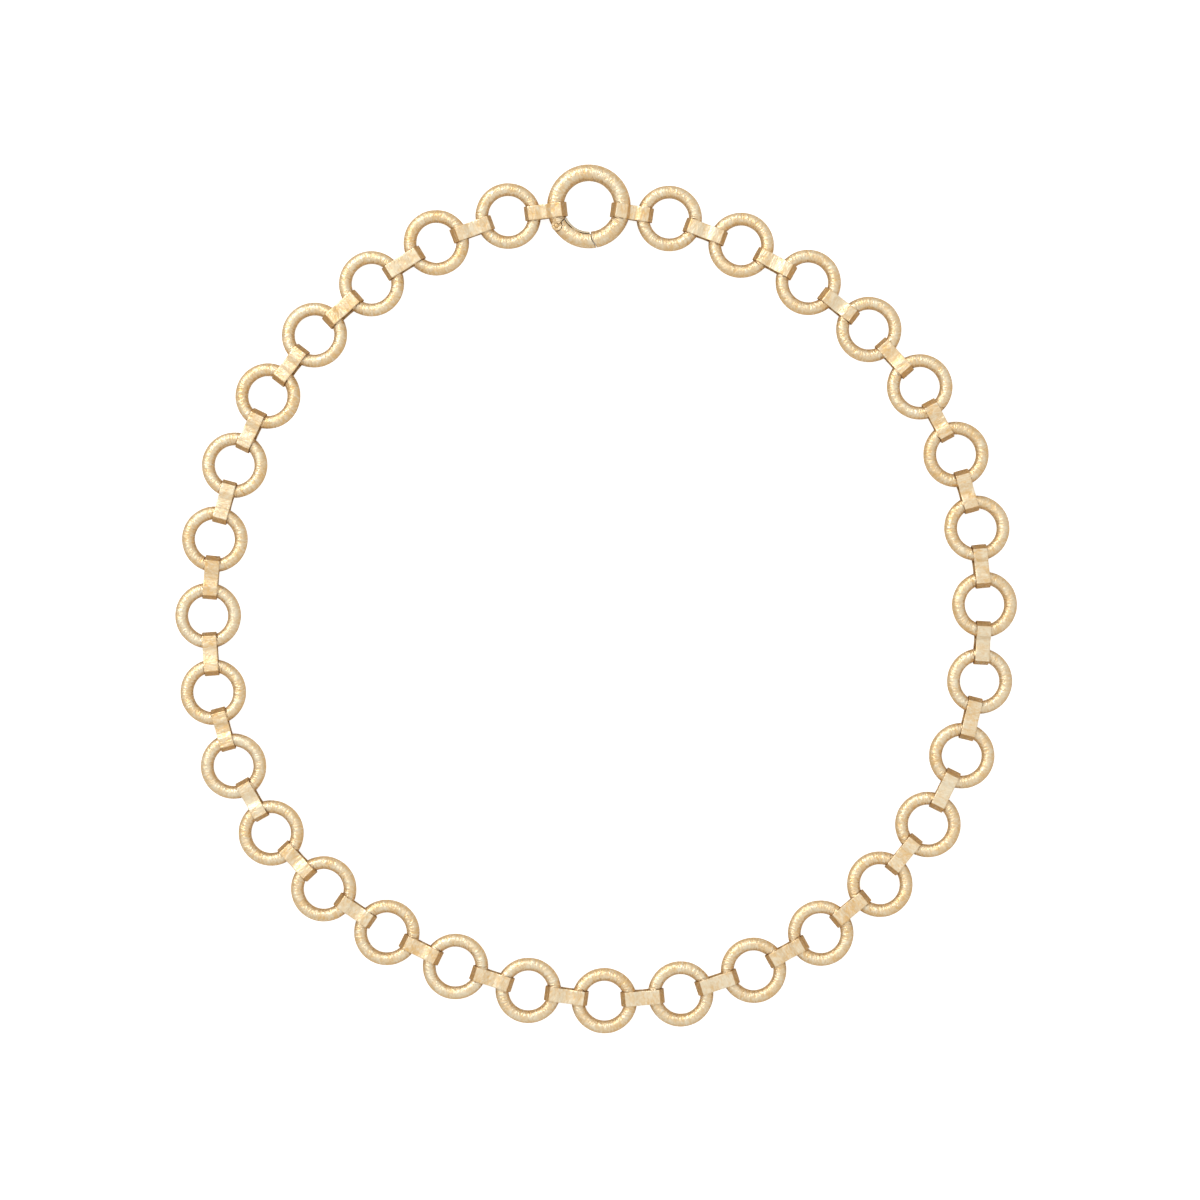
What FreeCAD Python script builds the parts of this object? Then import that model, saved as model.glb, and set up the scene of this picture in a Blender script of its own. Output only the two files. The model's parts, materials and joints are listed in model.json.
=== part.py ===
"""Chain necklace: round wire rings joined by folded band connectors, closed by a hinged clasp ring.

Millimetres, +Z up. The necklace lies flat and closed on the plane Z = 0. The origin is the middle of
its footprint, and +Y points from the front ring to the clasp.
"""

import FreeCAD, Part
import math
import os

# Chain: one front ring, then the same number of rings up each side to the clasp ring.
SIDE_RINGS = 15
RING_PITCH = 14.0
CLASP_PITCH = 14.83

# Small rings of round wire.
RING_OUTER_DIAMETER = 12.0
RING_WIRE_DIAMETER = 2.4

# Clasp ring of thicker wire.
CLASP_OUTER_DIAMETER = 15.3
CLASP_WIRE_DIAMETER = 3.1

# Band connectors: a strip folded round two wires and pinched at the waist between them.
BAND_WIDTH = 2.6
BAND_THICKNESS = 0.3
WIRE_CLEARANCE = 0.10
EYELET_FLAT = 0.5
WAIST_HALF_LENGTH = 0.5
WAIST_DIP = 0.4

# Lay: the closed curve that the ring centres follow, as a circle with a few small waves.
# Each wave is (number of lobes, cosine part, sine part).
LAY_WAVES = ((2, -0.4, -0.4), (3, -0.05, -0.55), (4, 0.0, 0.5), (6, -0.4, -0.1))
CLASP_BEARING = 91.1
LEAST_LAY_RADIUS = 50.0
MOST_LAY_RADIUS = 100.0
MOST_STEP = 0.5
HALVINGS = 50

# Settling: the links lie a little rolled and lifted, in waves that grow from nothing at the front ring.
# Each roll wave is (turns round the chain, degrees, phase).
ROLL_WAVES = ((5, 3.0, 0.6), (3, 2.0, 2.1))
LIFT_TURNS = 13
LIFT = 0.6
LIFT_PHASE = 1.0
SETTLED_AFTER_RINGS = 4
EYELET_PLACE = 0.25

# Clasp gate: the arc between two cuts, in degrees round the clasp ring and counted from +X.
HINGE_CUT_INNER = 204.0
HINGE_CUT_OUTER = 213.5
TIP_CUT_INNER = 273.0
TIP_CUT_MIDDLE = 275.2
TIP_CUT_OUTER = 280.6
CUT_OVERRUN = 0.5
GATE_GAP = 0.12

# Gate hinge: a pin through a middle knuckle on the gate and two outer knuckles on the ring.
PIN_BEARING = 211.0
PIN_INSET = 0.85
PIN_DIAMETER = 0.8
PIN_LENGTH = 2.6
PIN_CLEARANCE = 0.04
KNUCKLE_RADIUS = 0.95
KNUCKLE_GAP = 0.10
MIDDLE_KNUCKLE_HALF_HEIGHT = 0.42
KNUCKLE_HALF_HEIGHT = 1.2

# Snap tongue: a thin leaf along the inner side of the gate, fixed to it by one boss.
TONGUE_THICKNESS = 0.36
TONGUE_SLOT = 0.16
TONGUE_START = 208.5
TONGUE_END = 271.5
BOSS_START = 232.0
BOSS_END = 248.0

# Grouped nodes: a side's last connectors, counted from the front, share a node with the ring they lead to.
RIGHT_PAIRS = (13, 14, 15)
LEFT_PAIRS = (13, 14)

# Cutting bodies reach this far past what they cut.
REACH = 20.0

UP = FreeCAD.Vector(0, 0, 1)


def wire_span(outer_diameter, wire_diameter):
    """How near and how far a ring's wire lies from the ring's centre, over the width of a band."""
    outer = outer_diameter / 2
    inner = outer - wire_diameter
    nearest = math.sqrt(inner**2 - (BAND_WIDTH / 2) ** 2)
    return nearest, outer


def eyelet(outer_diameter, wire_diameter):
    """An eyelet's distance from the ring's centre, and its half height over the band's outside."""
    nearest, furthest = wire_span(outer_diameter, wire_diameter)
    hole = (furthest - nearest) / 2 + WIRE_CLEARANCE
    return (furthest + nearest) / 2, hole + BAND_THICKNESS


RING_EYELET, RING_HEIGHT = eyelet(RING_OUTER_DIAMETER, RING_WIRE_DIAMETER)
CLASP_EYELET, CLASP_HEIGHT = eyelet(CLASP_OUTER_DIAMETER, CLASP_WIRE_DIAMETER)


# ---------------------------------------------------------------- lay of the chain


def lay_point(bearing, radius):
    """The point of the lay curve at a bearing from its centre, in radians."""
    for lobes, cosine, sine in LAY_WAVES:
        radius += cosine * math.cos(lobes * bearing) + sine * math.sin(lobes * bearing)
    return FreeCAD.Vector(radius * math.cos(bearing), radius * math.sin(bearing), 0)


def step_along(bearing, pitch, radius):
    """The next bearing, clockwise, whose point lies one pitch away in a straight line."""
    here = lay_point(bearing, radius)
    near, far = 0.0, MOST_STEP
    for _ in range(HALVINGS):
        turn = (near + far) / 2
        if here.distanceToPoint(lay_point(bearing - turn, radius)) < pitch:
            near = turn
        else:
            far = turn
    return bearing - near


def walk(radius):
    """The bearings of all the ring centres, clockwise from the clasp and back to it."""
    small_steps = [RING_PITCH] * (2 * SIDE_RINGS)
    bearings = [math.radians(CLASP_BEARING)]
    for pitch in [CLASP_PITCH] + small_steps + [CLASP_PITCH]:
        bearings.append(step_along(bearings[-1], pitch, radius))
    return bearings


def ring_centres():
    """The clasp's centre, then the small rings' centres clockwise, on a curve that they just close."""
    small, large = LEAST_LAY_RADIUS, MOST_LAY_RADIUS
    for _ in range(HALVINGS):
        radius = (small + large) / 2
        bearings = walk(radius)
        if bearings[0] - bearings[-1] > 2 * math.pi:
            small = radius
        else:
            large = radius
    return [lay_point(bearing, radius) for bearing in bearings[:-1]]


def settling(place):
    """How much of the full roll and lift there is at a place, counted in rings from the front ring."""
    count = 2 * SIDE_RINGS + 2
    return min(1.0, min(place % count, -place % count) / SETTLED_AFTER_RINGS)


def roll(place):
    """How far a ring is rolled about the chain's direction, in degrees."""
    turn = 2 * math.pi * place / (2 * SIDE_RINGS + 2)
    waves = (degrees * math.sin(turns * turn + phase) for turns, degrees, phase in ROLL_WAVES)
    return settling(place) * sum(waves)


def eyelet_height(place, half_height):
    """The height of an eyelet's middle: it lies on its lower edge, or is lifted off by a wave."""
    turn = 2 * math.pi * LIFT_TURNS * place / (2 * SIDE_RINGS + 2)
    wave = settling(place) * LIFT * (1 - math.cos(turn + LIFT_PHASE)) / 2
    return half_height + BAND_WIDTH / 2 * math.sin(math.radians(abs(roll(place)))) + wave


def ring_placement(place, centres):
    """Where a ring lies: its X along the chain, to the right up the right side, and its Z square to it."""
    is_clasp = place == SIDE_RINGS + 1
    reach = CLASP_EYELET if is_clasp else RING_EYELET
    half_height = CLASP_HEIGHT if is_clasp else RING_HEIGHT
    before = eyelet_height(place - EYELET_PLACE, half_height)
    after = eyelet_height(place + EYELET_PLACE, half_height)
    pitch = math.degrees(math.asin((after - before) / (2 * reach)))
    along = centres[(place + 1) % len(centres)] - centres[place - 1]
    heading = math.degrees(math.atan2(along.y, along.x))
    turned = FreeCAD.Rotation(UP, heading)
    pitched = FreeCAD.Rotation(FreeCAD.Vector(0, 1, 0), -pitch)
    rolled = FreeCAD.Rotation(FreeCAD.Vector(1, 0, 0), roll(place))
    middle = FreeCAD.Vector(centres[place].x, centres[place].y, (before + after) / 2)
    return FreeCAD.Placement(middle, turned * pitched * rolled)


def chain():
    """Ring placements by name: the clasp, the front ring and both sides numbered from the front."""
    clasp, *small = ring_centres()
    small.reverse()
    front = small[SIDE_RINGS:] + [clasp] + small[:SIDE_RINGS]
    names = ["front_ring"]
    names += [f"right_ring_{number:02d}" for number in range(1, SIDE_RINGS + 1)]
    names += ["clasp_ring"]
    names += [f"left_ring_{number:02d}" for number in range(SIDE_RINGS, 0, -1)]
    return {name: ring_placement(place, front) for place, name in enumerate(names)}


def wire_at(ring, target, reach):
    """The middle of a ring's wire on the side of a target point, and the way that the wire runs."""
    axis = ring.Rotation.multVec(UP)
    outward = target - ring.Base
    outward -= axis * axis.dot(outward)
    outward.normalize()
    return ring.Base + outward * reach, axis.cross(outward)


def ring_before(side, number):
    """The ring on the front side of a side's connector."""
    return "front_ring" if number == 1 else f"{side}_ring_{number - 1:02d}"


def ring_after(side, number):
    """The ring on the clasp side of a side's connector."""
    return "clasp_ring" if number > SIDE_RINGS else f"{side}_ring_{number:02d}"


# ---------------------------------------------------------------- rings and connectors


def small_ring(placement):
    """A closed ring of round wire."""
    wire = RING_WIRE_DIAMETER / 2
    ring = Part.makeTorus(RING_OUTER_DIAMETER / 2 - wire, wire)
    ring.Placement = placement
    return ring


def band_outline(span, half_a, half_b):
    """One closed line of a connector seen from the side: two round ends and a pinched waist."""
    waist = min(half_a, half_b) - WAIST_DIP
    profile = [
        (-EYELET_FLAT, half_a),
        (EYELET_FLAT, half_a),
        (span / 2 - WAIST_HALF_LENGTH, waist),
        (span / 2 + WAIST_HALF_LENGTH, waist),
        (span - EYELET_FLAT, half_b),
        (span + EYELET_FLAT, half_b),
    ]
    top = [FreeCAD.Vector(along, 0, height) for along, height in profile]
    bottom = [FreeCAD.Vector(along, 0, -height) for along, height in reversed(profile)]
    far_tip = FreeCAD.Vector(span + half_b, 0, 0)
    near_tip = FreeCAD.Vector(-half_a, 0, 0)
    edges = [Part.makeLine(a, b) for a, b in zip(top, top[1:])]
    edges.append(Part.Arc(top[-1], far_tip, bottom[0]).toShape())
    edges += [Part.makeLine(a, b) for a, b in zip(bottom, bottom[1:])]
    edges.append(Part.Arc(bottom[-1], near_tip, top[0]).toShape())
    return Part.Wire(edges)


def connector_placement(start, end, end_reach):
    """Where a connector lies, from the middle of its first eyelet along X, and its length between them."""
    first, first_wire = wire_at(start, end.Base, RING_EYELET)
    last, last_wire = wire_at(end, start.Base, end_reach)
    along = last - first
    span = along.Length
    along.normalize()
    across = first_wire - last_wire
    upward = along.cross(across)
    rotation = FreeCAD.Rotation(along, FreeCAD.Vector(), upward, "XZY")
    return FreeCAD.Placement(first, rotation), span


def connector(start, end, is_last):
    """A band folded round the wires of two rings, the last one on each side round the clasp ring's."""
    end_reach = CLASP_EYELET if is_last else RING_EYELET
    end_half = CLASP_HEIGHT if is_last else RING_HEIGHT
    placement, span = connector_placement(start, end, end_reach)
    outer = band_outline(span, RING_HEIGHT, end_half)
    inner = band_outline(span, RING_HEIGHT - BAND_THICKNESS, end_half - BAND_THICKNESS)
    across = FreeCAD.Vector(0, BAND_WIDTH, 0)
    band = Part.Face(outer).extrude(across).cut(Part.Face(inner).extrude(across)).Solids[0]
    band.translate(-across / 2)
    band.Placement = placement * band.Placement
    return band


# ---------------------------------------------------------------- clasp


def on_clasp(bearing, radius, height=0.0):
    """A point at a bearing in degrees and a radius from the clasp ring's centre."""
    angle = math.radians(bearing)
    return FreeCAD.Vector(radius * math.cos(angle), radius * math.sin(angle), height)


CLASP_OUTER = CLASP_OUTER_DIAMETER / 2
CLASP_INNER = CLASP_OUTER - CLASP_WIRE_DIAMETER
CLASP_MIDDLE = (CLASP_OUTER + CLASP_INNER) / 2
PIN_CENTRE = on_clasp(PIN_BEARING, CLASP_OUTER - PIN_INSET)


def gate_sector(grow):
    """The prism that cuts the gate out of the clasp ring, grown sideways by an amount at each cut."""
    shift = math.degrees(grow / CLASP_MIDDLE)
    hinge_turn = (HINGE_CUT_OUTER - HINGE_CUT_INNER) / (CLASP_OUTER - CLASP_INNER)
    tip_turn = (TIP_CUT_OUTER - TIP_CUT_MIDDLE) / (CLASP_OUTER - CLASP_MIDDLE)
    near, far = CLASP_INNER - CUT_OVERRUN, CLASP_OUTER + CUT_OVERRUN
    corners = [
        on_clasp(HINGE_CUT_INNER - hinge_turn * CUT_OVERRUN - shift, near),
        on_clasp(HINGE_CUT_OUTER + hinge_turn * CUT_OVERRUN - shift, far),
        on_clasp((HINGE_CUT_OUTER + TIP_CUT_OUTER) / 2, REACH),
        on_clasp(TIP_CUT_OUTER + tip_turn * CUT_OVERRUN + shift, far),
        on_clasp(TIP_CUT_MIDDLE + shift, CLASP_MIDDLE),
        on_clasp(TIP_CUT_INNER + shift, near),
    ]
    outline = Part.makePolygon(corners + corners[:1])
    prism = Part.Face(outline).extrude(FreeCAD.Vector(0, 0, 2 * REACH))
    prism.translate(FreeCAD.Vector(0, 0, -REACH))
    return prism


def upright(radius, centre, low, high):
    """A vertical cylinder between two heights."""
    base = FreeCAD.Vector(centre.x, centre.y, low)
    return Part.makeCylinder(radius, high - low, base, UP)


def torus_slice(start, end):
    """The whole round wire of the clasp ring between two bearings in degrees."""
    wire = CLASP_WIRE_DIAMETER / 2
    centre = FreeCAD.Vector(0, 0, 0)
    slice_ = Part.makeTorus(CLASP_MIDDLE, wire, centre, UP, -180, 180, end - start)
    slice_.rotate(centre, UP, start)
    return slice_


def full_clasp_torus():
    """The clasp ring before it is cut."""
    return Part.makeTorus(CLASP_MIDDLE, CLASP_WIRE_DIAMETER / 2)


def clasp_ring():
    """The ring with the gate's arc cut out, and two outer knuckles round the hinge pin."""
    ring = full_clasp_torus().cut(gate_sector(GATE_GAP / 2))
    gap = KNUCKLE_GAP / 2
    room = MIDDLE_KNUCKLE_HALF_HEIGHT + gap
    cleared = upright(KNUCKLE_RADIUS + KNUCKLE_GAP, PIN_CENTRE, -room, room)
    upper = upright(KNUCKLE_RADIUS, PIN_CENTRE, room, KNUCKLE_HALF_HEIGHT)
    lower = upright(KNUCKLE_RADIUS, PIN_CENTRE, -KNUCKLE_HALF_HEIGHT, -room)
    bore = upright(PIN_DIAMETER / 2, PIN_CENTRE, -REACH, REACH)
    return ring.fuse([upper, lower]).cut(cleared).cut(bore).removeSplitter()


def hinge_pin():
    """The round pin that the gate turns on, flush with the knuckles' outer faces."""
    return upright(PIN_DIAMETER / 2, PIN_CENTRE, -PIN_LENGTH / 2, PIN_LENGTH / 2)


def boss_wedge():
    """The sector, seen from above, where the gate keeps its metal and holds the tongue."""
    middle = FreeCAD.Vector(0, 0, -REACH)
    corners = [middle, on_clasp(BOSS_START, REACH, -REACH), on_clasp(BOSS_END, REACH, -REACH)]
    outline = Part.makePolygon(corners + corners[:1])
    return Part.Face(outline).extrude(FreeCAD.Vector(0, 0, 2 * REACH))


def clasp_gate():
    """The hinged arc: a shell with a slot behind its tongue and a middle knuckle on the pin."""
    gate = full_clasp_torus().common(gate_sector(-GATE_GAP / 2))
    centre = FreeCAD.Vector(0, 0, 0)
    leaf_face = CLASP_INNER + TONGUE_THICKNESS
    slot = upright(leaf_face + TONGUE_SLOT, centre, -REACH, REACH).cut(boss_wedge())
    gate = gate.cut(slot).cut(upright(leaf_face, centre, -REACH, REACH))
    clear = KNUCKLE_RADIUS + KNUCKLE_GAP
    gap = KNUCKLE_GAP / 2
    half = MIDDLE_KNUCKLE_HALF_HEIGHT
    above = upright(clear, PIN_CENTRE, half - gap, REACH)
    below = upright(clear, PIN_CENTRE, -REACH, gap - half)
    knuckle = upright(KNUCKLE_RADIUS, PIN_CENTRE, gap - half, half - gap)
    bore = upright(PIN_DIAMETER / 2 + PIN_CLEARANCE, PIN_CENTRE, -REACH, REACH)
    gate = gate.cut(above).cut(below).fuse(knuckle)
    return gate.cut(bore).removeSplitter()


def snap_tongue():
    """The thin leaf that lies along the inner side of the gate."""
    leaf = torus_slice(TONGUE_START, TONGUE_END)
    centre = FreeCAD.Vector(0, 0, 0)
    return leaf.common(upright(CLASP_INNER + TONGUE_THICKNESS, centre, -REACH, REACH))


# ---------------------------------------------------------------- nodes


def side_nodes(side, pairs, rings):
    """One side's connectors and rings by node name, with its last links grouped."""
    last = SIDE_RINGS + 1
    links = {}
    for number in range(1, last + 1):
        start = rings[ring_before(side, number)]
        end = rings[ring_after(side, number)]
        links[number] = [connector(start, end, number == last)]
        if number < last:
            links[number].append(small_ring(end))
    nodes = {}
    for number, solids in links.items():
        if number in pairs:
            nodes[f"{side}_link_pair_{number:02d}"] = solids
        elif number == SIDE_RINGS:
            nodes[f"{side}_end_links"] = solids + links[last]
        elif number < last:
            nodes[f"{side}_connector_{number:02d}"] = solids[:1]
            nodes[f"{side}_ring_{number:02d}"] = solids[1:]
        elif SIDE_RINGS in pairs:
            nodes[f"{side}_connector_{number:02d}"] = solids
    return nodes


def clasp_placement(rings):
    """Where the clasp lies: tilted with the chain, with its bearings still counted from +X."""
    clasp = rings["clasp_ring"]
    along = clasp.Rotation.multVec(FreeCAD.Vector(1, 0, 0))
    heading = math.degrees(math.atan2(along.y, along.x))
    return FreeCAD.Placement(clasp.Base, clasp.Rotation * FreeCAD.Rotation(UP, -heading))


def build():
    """All the nodes: a list of solids for each name."""
    rings = chain()
    nodes = {"front_ring": [small_ring(rings["front_ring"])]}
    nodes.update(side_nodes("right", RIGHT_PAIRS, rings))
    nodes.update(side_nodes("left", LEFT_PAIRS, rings))
    clasp_parts = {
        "clasp_ring": clasp_ring(),
        "clasp_hinge_pin": hinge_pin(),
        "clasp_gate": clasp_gate(),
        "clasp_tongue": snap_tongue(),
    }
    for name, shape in clasp_parts.items():
        solid = shape.Solids[0]
        solid.Placement = clasp_placement(rings) * solid.Placement
        nodes[name] = [solid]
    return nodes


def footprint_middle(nodes):
    """The middle of the box round all the solids, on the plane that they lie on."""
    box = FreeCAD.BoundBox()
    for solids in nodes.values():
        for solid in solids:
            box.add(solid.optimalBoundingBox())
    return FreeCAD.Vector(box.Center.x, box.Center.y, box.ZMin)


def main():
    os.makedirs("parts", exist_ok=True)
    nodes = build()
    origin = footprint_middle(nodes)
    for name, solids in nodes.items():
        for solid in solids:
            solid.translate(-origin)
        Part.makeCompound(solids).exportStep(f"parts/{name}.step")
    print(len(nodes), "nodes, origin moved by", origin)


if __name__ == "__main__":
    main()
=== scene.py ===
"""Looks of the chain necklace: formed and engraved gold pieces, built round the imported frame.

Shapes are worked out in millimetres, in each piece's own axes, and written to the meshes in metres.
"""

import json
import math

import bpy
import numpy as np
from mathutils import Matrix, Vector


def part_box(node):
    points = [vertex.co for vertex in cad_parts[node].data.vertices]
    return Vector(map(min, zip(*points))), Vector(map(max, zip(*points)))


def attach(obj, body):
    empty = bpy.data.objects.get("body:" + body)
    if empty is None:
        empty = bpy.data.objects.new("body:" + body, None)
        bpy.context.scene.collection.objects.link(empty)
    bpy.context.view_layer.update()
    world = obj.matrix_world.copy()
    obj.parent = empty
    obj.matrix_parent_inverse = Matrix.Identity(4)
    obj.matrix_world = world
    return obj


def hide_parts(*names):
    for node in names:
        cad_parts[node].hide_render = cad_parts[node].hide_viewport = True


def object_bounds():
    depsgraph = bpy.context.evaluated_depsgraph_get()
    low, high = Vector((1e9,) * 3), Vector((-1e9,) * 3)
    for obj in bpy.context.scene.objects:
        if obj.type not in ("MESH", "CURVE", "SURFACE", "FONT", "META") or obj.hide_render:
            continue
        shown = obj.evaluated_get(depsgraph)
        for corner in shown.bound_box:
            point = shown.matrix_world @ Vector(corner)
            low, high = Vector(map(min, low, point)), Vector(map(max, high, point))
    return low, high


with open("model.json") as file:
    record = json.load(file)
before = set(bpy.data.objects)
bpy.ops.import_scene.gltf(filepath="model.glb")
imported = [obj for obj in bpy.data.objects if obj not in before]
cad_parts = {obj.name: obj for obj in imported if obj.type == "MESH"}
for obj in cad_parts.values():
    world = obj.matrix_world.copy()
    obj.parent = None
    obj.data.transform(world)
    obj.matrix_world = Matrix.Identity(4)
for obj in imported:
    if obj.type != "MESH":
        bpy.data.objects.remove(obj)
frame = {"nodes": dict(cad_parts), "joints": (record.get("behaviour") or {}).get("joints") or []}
CAD_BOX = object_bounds()
NODES = frame["nodes"]
JOINTS = {joint["name"]: joint for joint in frame["joints"]}

MM = 0.001
SIDE_RINGS = 15

# Wire and band sizes, as the CAD solids have them.
RING_RADIUS = 4.8
WIRE_RADIUS = 1.2
CLASP_RADIUS = 6.1
CLASP_WIRE_RADIUS = 1.55
BAND_WIDTH = 2.6
BAND_THICKNESS = 0.3
WIRE_CLEARANCE = 0.10

# How far a formed band keeps under the CAD band's flat faces.
BAND_INSET = 0.03

# Where the last links share a CAD node.
GROUPED_FROM = 13

# Points that agree to this many digits of a metre are one point, and a solid whose two larger spreads agree
# within this ratio is a round ring.
SAME_POINT_DIGITS = 7
ROUND_RATIO = 1.05


def eyelet(ring_radius, wire_radius):
    """An eyelet's distance from its ring's centre, and the band's outer half height there."""
    inner = ring_radius - wire_radius
    nearest = math.sqrt(inner**2 - (BAND_WIDTH / 2) ** 2)
    furthest = ring_radius + wire_radius
    return (furthest + nearest) / 2, (furthest - nearest) / 2 + WIRE_CLEARANCE + BAND_THICKNESS


RING_EYELET, RING_HEIGHT = eyelet(RING_RADIUS, WIRE_RADIUS)
CLASP_EYELET, CLASP_HEIGHT = eyelet(CLASP_RADIUS, CLASP_WIRE_RADIUS)


# ---------------------------------------------------------------- what the frame says


def node_of(kind, side, number):
    """The CAD node that holds a side's ring or connector of a number."""
    if side == "left" and number >= SIDE_RINGS:
        return "left_end_links"
    if number > SIDE_RINGS or number < GROUPED_FROM:
        return f"{side}_{kind}_{number:02d}"
    return f"{side}_link_pair_{number:02d}"


def node_mesh(node):
    """A CAD node's points in millimetres, with doubled points merged, and its triangles."""
    mesh = NODES[node].data
    mesh.calc_loop_triangles()
    points = np.zeros(len(mesh.vertices) * 3)
    mesh.vertices.foreach_get("co", points)
    triangles = np.zeros(len(mesh.loop_triangles) * 3, int)
    mesh.loop_triangles.foreach_get("vertices", triangles)
    points = points.reshape(-1, 3).round(SAME_POINT_DIGITS)
    merged, place = np.unique(points, axis=0, return_inverse=True)
    return merged / MM, place.ravel()[triangles].reshape(-1, 3)


def separate(points, triangles):
    """The triangles of each closed solid of a node."""
    label = np.arange(len(points))
    while True:
        lowest = label[triangles].min(axis=1)
        before = label.copy()
        for corner in range(3):
            np.minimum.at(label, triangles[:, corner], lowest)
        if (label == before).all():
            break
    return [triangles[label[triangles[:, 0]] == each] for each in np.unique(label)]


def moments(points, triangles):
    """A closed solid's centre, and its spread along its own three axes, smallest first."""
    a, b, c = points[triangles].transpose(1, 0, 2)
    weight = np.einsum("ij,ij->i", a, np.cross(b, c))
    total = weight.sum()
    corners = np.stack([a + b + c, a, b, c])
    centre = (weight[:, None] * corners[0]).sum(0) / (4 * total)
    second = np.einsum("t,kti,ktj->ij", weight, corners, corners) / (20 * total)
    spread, axes = np.linalg.eigh(second - np.outer(centre, centre))
    return centre, spread, axes


def ring_in(node):
    """The centre and the upward axis of the round ring in a CAD node."""
    points, triangles = node_mesh(node)
    for solid in separate(points, triangles):
        centre, spread, axes = moments(points, solid)
        if spread[2] < ROUND_RATIO * spread[1]:
            axis = axes[:, 0] * np.sign(axes[2, 0])
            return Vector(centre), Vector(axis)
    raise ValueError(f"{node} holds no ring")


def joint_line(name):
    """A joint's point in millimetres, and its axis turned upward."""
    joint = JOINTS[name]
    axis = Vector(joint["axis"]).normalized()
    return Vector(joint["pos_m"]) / MM, axis if axis.z > 0 else -axis


RINGS = {("front", 0): ring_in("front_ring"), ("clasp", 0): joint_line("clasp_ring_turn")}
for each_side in ("right", "left"):
    for each_number in range(1, SIDE_RINGS + 1):
        RINGS[each_side, each_number] = ring_in(node_of("ring", each_side, each_number))


def axes_matrix(origin, x, y, z):
    """The placement, in millimetres, of a piece with an origin and three unit axes."""
    rotation = Matrix((x, y, z)).transposed().to_4x4()
    return Matrix.Translation(origin) @ rotation


def ring_matrix(centre, axis):
    """A ring's placement: its Z is its axis, and its X is level."""
    x = Vector((0, 1, 0)).cross(axis).normalized()
    return axes_matrix(centre, x, axis.cross(x), axis)


def wire_at(ring, target, reach):
    """The middle of a ring's wire on the side of a target point, and the way that the wire runs."""
    centre, axis = ring
    outward = target - centre
    outward -= axis * axis.dot(outward)
    outward.normalize()
    return centre + outward * reach, axis.cross(outward)


# ---------------------------------------------------------------- meshes


def new_piece(name, points, faces, matrix, work, material, side=None, crevice=None):
    """A smooth shaded object from points in its own axes.

    Each point carries the vector that its engraving is cut on, how far it faces sideways, where the gold is
    painted deeper as shade and not paled by wear, and how deep it is in a crevice, painted dark as shade
    and tarnish. The last two run from 0 to 1.
    """
    matrix = np.array(matrix)
    placed = np.asarray(points) @ matrix[:3, :3].T + matrix[:3, 3]
    mesh = bpy.data.meshes.new(name)
    mesh.from_pydata((placed * MM).tolist(), [], faces)
    mesh.update()
    mesh.shade_smooth()
    mesh.attributes.new("work", "FLOAT_VECTOR", "POINT").data.foreach_set("vector", work.ravel())
    for shade, values in (("side", side), ("crevice", crevice)):
        values = np.zeros(len(points)) if values is None else values
        values = values.astype(np.float32).ravel()
        mesh.attributes.new(shade, "FLOAT", "POINT").data.foreach_set("value", values)
    piece = bpy.data.objects.new(name, mesh)
    bpy.context.scene.collection.objects.link(piece)
    mesh.materials.append(material)
    return piece


def wrapped_faces(rows, columns):
    """The quads of a grid of points that is closed both ways."""
    row, column = np.meshgrid(np.arange(rows), np.arange(columns), indexing="ij")
    next_row, next_column = (row + 1) % rows, (column + 1) % columns
    corners = [(row, column), (next_row, column), (next_row, next_column), (row, next_column)]
    return np.stack([r * columns + c for r, c in corners], axis=-1).reshape(-1, 4).tolist()


def waves(random, count, largest):
    """Random whole-number waves in two directions, so that they close round a ring."""
    numbers = random.integers(-largest[0], largest[0] + 1, count)
    others = random.integers(0, largest[1] + 1, count)
    phases = random.uniform(0, 2 * math.pi, count)
    return list(zip(numbers, others, phases))


# A sum of waves seldom passes this times the square root of their count.
WAVE_PEAK = 1.5


def waved(parts, first, second):
    """The sum of a list of waves at two angles, about 1 at most."""
    total = sum(np.cos(m * first + n * second + phase) for m, n, phase in parts)
    return total / (WAVE_PEAK * math.sqrt(len(parts)))


# Surface work, in millimetres: soft hand-worked lumps and the engraved lines across the wire.
LUMP_DEPTH = 0.022
LINE_DEPTH = 0.014
RING_LINES = 96
CLASP_LINES = 118

# How many waves make up the lumps, the lines' wander and the lines' depth, and the most turns of each round
# the ring and round the wire.
LUMP_WAVES = (14, (13, 3))
WANDER_WAVES = (6, (9, 2))
FADE_WAVES = (8, (15, 2))

# How far the lines wander, in radians of a line, and how deep they are on average and how much that varies.
LINE_WANDER = 2.2
LINE_SHARE = 0.6
LINE_FADE = 0.6


def engraved(random, lines, around, section):
    """How deep the surface of a wire lies under its round form, at two angles."""
    lumps = waved(waves(random, *LUMP_WAVES), around, section)
    wander = waved(waves(random, *WANDER_WAVES), around, section)
    fade = waved(waves(random, *FADE_WAVES), around, section)
    share = np.clip(LINE_SHARE + LINE_FADE * fade, 0, 1)
    line = np.cos(lines * around + LINE_WANDER * wander) * share
    return LUMP_DEPTH * (1 - lumps) / 2 + LINE_DEPTH * (1 - line) / 2


def torus_points(ring_radius, wire_radius, around, section):
    """Points of a torus at angles round the ring and round the wire, for one wire radius each."""
    reach = ring_radius + wire_radius * np.cos(section)
    return np.stack(
        [reach * np.cos(around), reach * np.sin(around), wire_radius * np.sin(section)], axis=-1
    )


def work_vector(length, around, across):
    """Where engraving is cut: a circle as long as the worked length, so it closes, and the way across."""
    reach = length / (2 * math.pi)
    return np.stack([reach * np.cos(around), reach * np.sin(around), across], axis=-1).astype(np.float32)


def wire_work(ring_radius, wire_radius, around, section):
    """The engraving's vector on a round wire, counted across from the wire's top."""
    from_top = (section - math.pi / 2 + math.pi) % (2 * math.pi) - math.pi
    return work_vector(2 * math.pi * ring_radius, around, wire_radius * from_top)


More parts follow.
